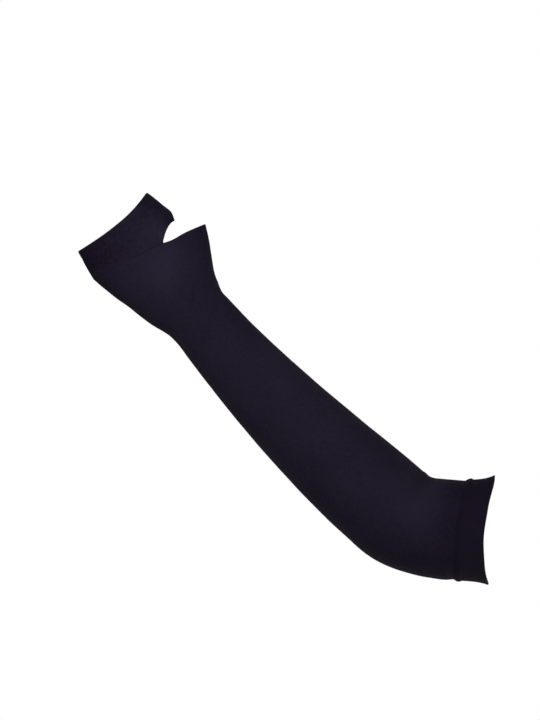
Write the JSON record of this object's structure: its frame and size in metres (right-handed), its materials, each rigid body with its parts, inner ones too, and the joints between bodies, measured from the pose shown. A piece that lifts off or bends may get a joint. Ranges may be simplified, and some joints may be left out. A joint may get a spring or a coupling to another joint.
{
  "type": "arm sleeve",
  "caption": "Knitted arm sleeve with a thumb hole and doubled welt cuffs, in the form it takes on a bent right arm, from the upper arm over the elbow and wrist to the palm.",
  "frame": {"origin": "centre of the elbow, where the axes of the forearm and the upper arm cross; the arm inside holds the sleeve there", "axes": "+Z along the forearm towards the hand, +X towards the thumb and the crook of the elbow, -Y the palm side"},
  "size_m": [0.1207, 0.091, 0.4191],
  "materials": {
    "tube_knit": "fine matt stretch knit",
    "welt_knit": "doubled stretch knit welt"
  },
  "bodies": {
    "root": {"tube_elbow": "tube_knit", "tube_forearm": "tube_knit", "tube_wrist": "tube_knit", "tube_palm": "tube_knit", "hand_cuff": "welt_knit", "upper_cuff": "welt_knit", "seam_roll": "welt_knit"}
  },
  "joints": []
}
